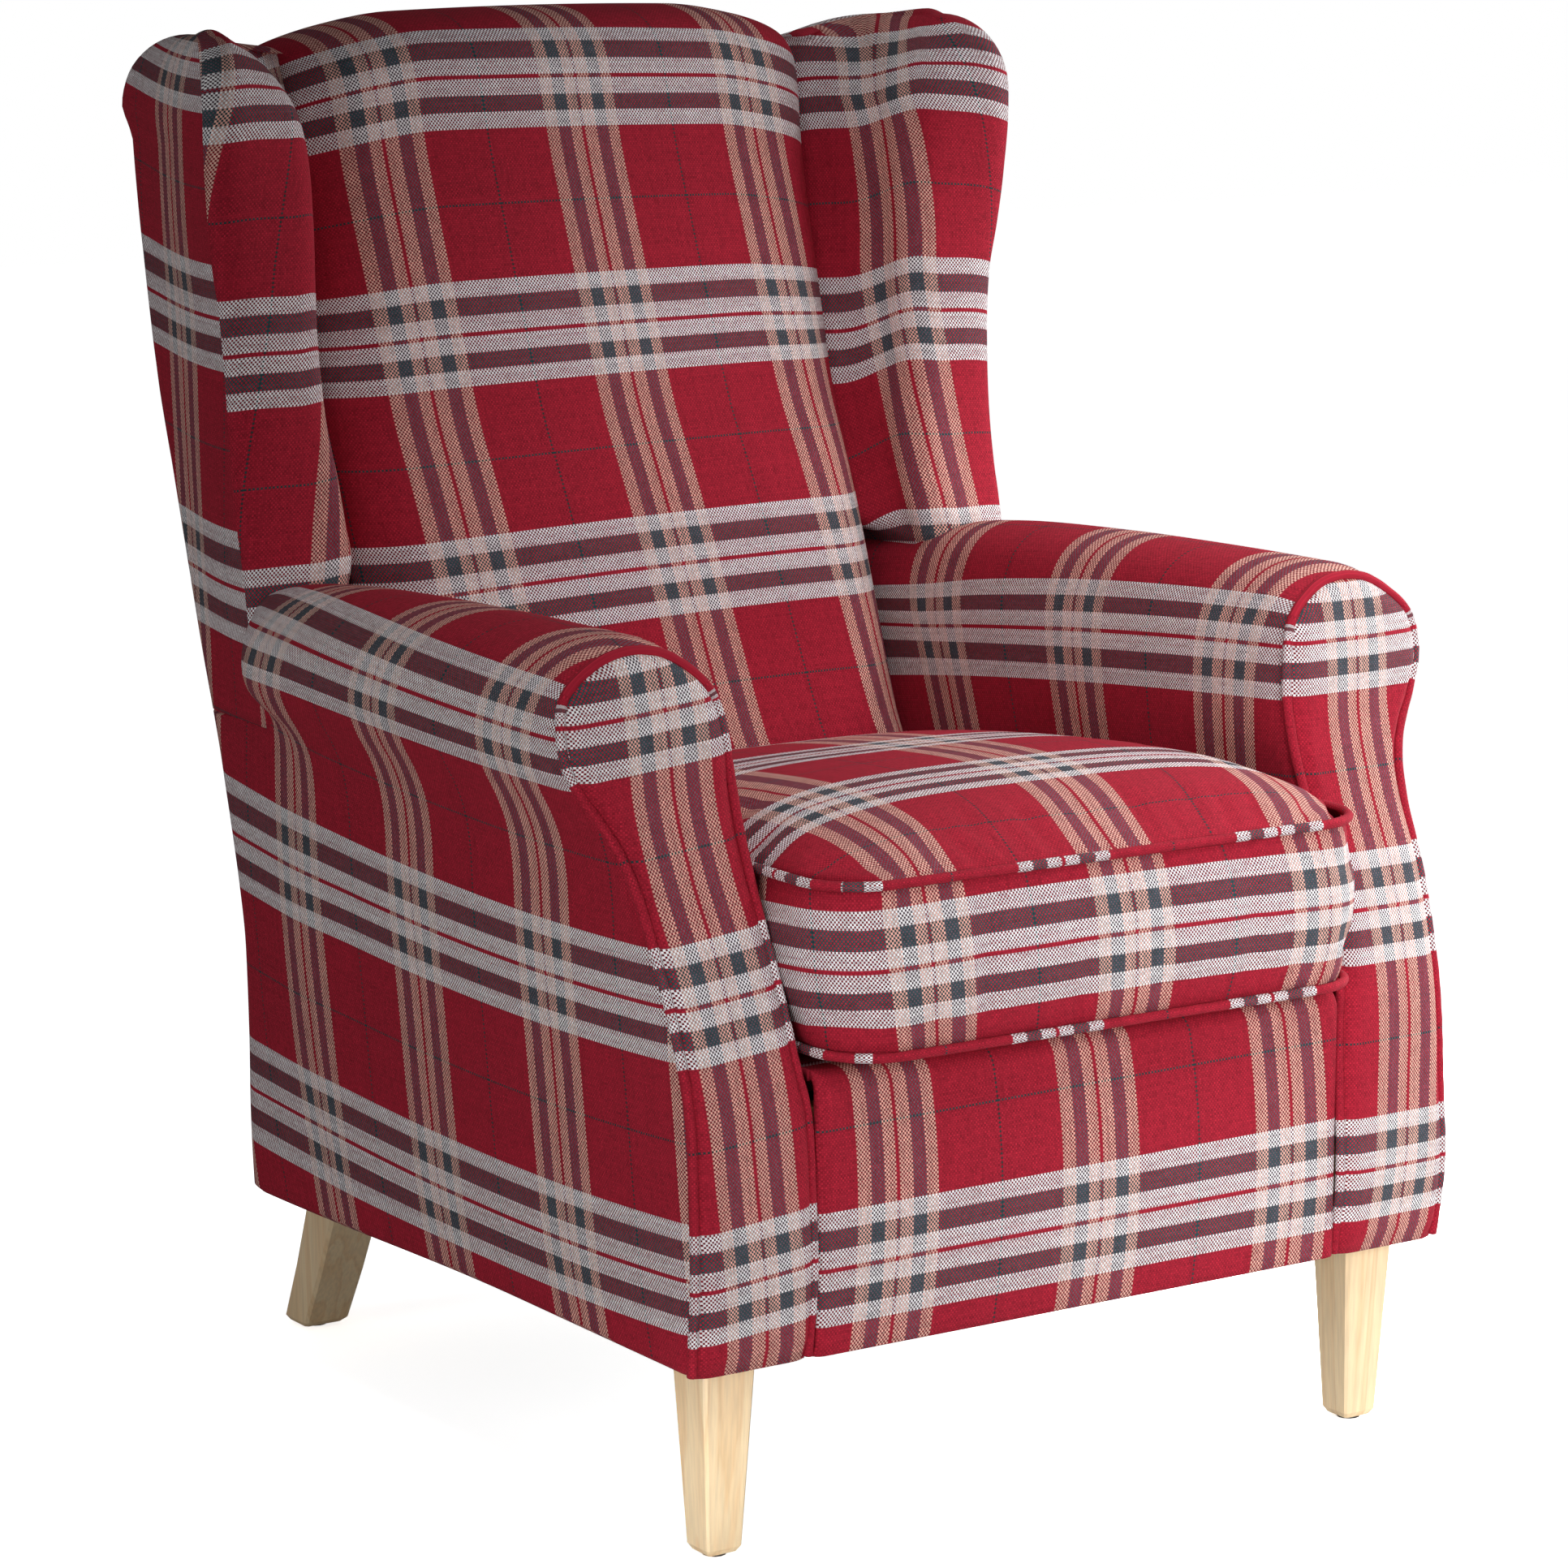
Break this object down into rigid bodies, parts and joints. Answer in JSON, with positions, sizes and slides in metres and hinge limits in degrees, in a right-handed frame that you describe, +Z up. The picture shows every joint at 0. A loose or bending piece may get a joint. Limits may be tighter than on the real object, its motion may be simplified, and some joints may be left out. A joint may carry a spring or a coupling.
{
  "type": "wing armchair",
  "caption": "High-backed wing armchair with scroll arms, a loose box seat cushion and tapered wooden legs.",
  "frame": {"origin": "on the floor under the middle of the chair's footprint", "axes": "+Z up, -Y towards the front of the seat, +X towards the chair's side that is right in a front view"},
  "size_m": [0.7598, 0.9028, 1.059],
  "materials": {
    "tartan_cloth": "woven red tartan with white and cream bands",
    "piping_cloth": "woven red tartan cut on the straight",
    "beech": "clear satin lacquer",
    "frame_timber": "rough sawn and plywood",
    "foam": "felt over foam",
    "webbing": "black woven and spunbond cloth",
    "spring_steel": "bright wire",
    "glide_plastic": "matt"
  },
  "bodies": {
    "chair_frame": {"leg_front_left": "beech", "leg_front_right": "beech", "leg_rear_left": "beech", "leg_rear_right": "beech", "glide_front_left": "glide_plastic", "glide_front_right": "glide_plastic", "glide_rear_left": "glide_plastic", "glide_rear_right": "glide_plastic", "hanger_bolt_front_left": "spring_steel", "hanger_bolt_front_right": "spring_steel", "hanger_bolt_rear_left": "spring_steel", "hanger_bolt_rear_right": "spring_steel", "rail_front": "frame_timber", "rail_rear": "frame_timber", "rail_side_left": "frame_timber", "rail_side_right": "frame_timber", "corner_block_front_left": "frame_timber", "corner_block_front_right": "frame_timber", "corner_block_rear_left": "frame_timber", "corner_block_rear_right": "frame_timber", "seat_spring_1": "spring_steel", "seat_spring_2": "spring_steel", "seat_spring_3": "spring_steel", "seat_spring_4": "spring_steel", "seat_deck": "foam", "dust_cover": "webbing", "back_pad": "tartan_cloth", "outside_back": "tartan_cloth", "back_post_left": "frame_timber", "back_post_right": "frame_timber", "back_rail_top": "frame_timber", "back_rail_lower": "frame_timber", "back_webbing_1": "webbing", "back_webbing_2": "webbing", "back_webbing_3": "webbing", "arm_cover_left": "tartan_cloth", "arm_cover_right": "tartan_cloth", "arm_facing_left": "tartan_cloth", "arm_facing_right": "tartan_cloth", "arm_piping_left": "piping_cloth", "arm_piping_right": "piping_cloth", "arm_stump_left": "frame_timber", "arm_stump_right": "frame_timber", "arm_rail_left": "frame_timber", "arm_rail_right": "frame_timber", "wing_left": "tartan_cloth", "wing_right": "tartan_cloth", "wing_board_left": "frame_timber", "wing_board_right": "frame_timber", "front_apron": "tartan_cloth"},
    "seat_cushion": {"seat_cushion": "tartan_cloth", "cushion_piping_top": "piping_cloth", "cushion_piping_bottom": "piping_cloth"}
  },
  "joints": [
    {"name": "cushion_lift", "type": "slide", "parent": "chair_frame", "child": "seat_cushion", "axis": [0, 0, 1], "range_m": [0, 0.3]}
  ]
}
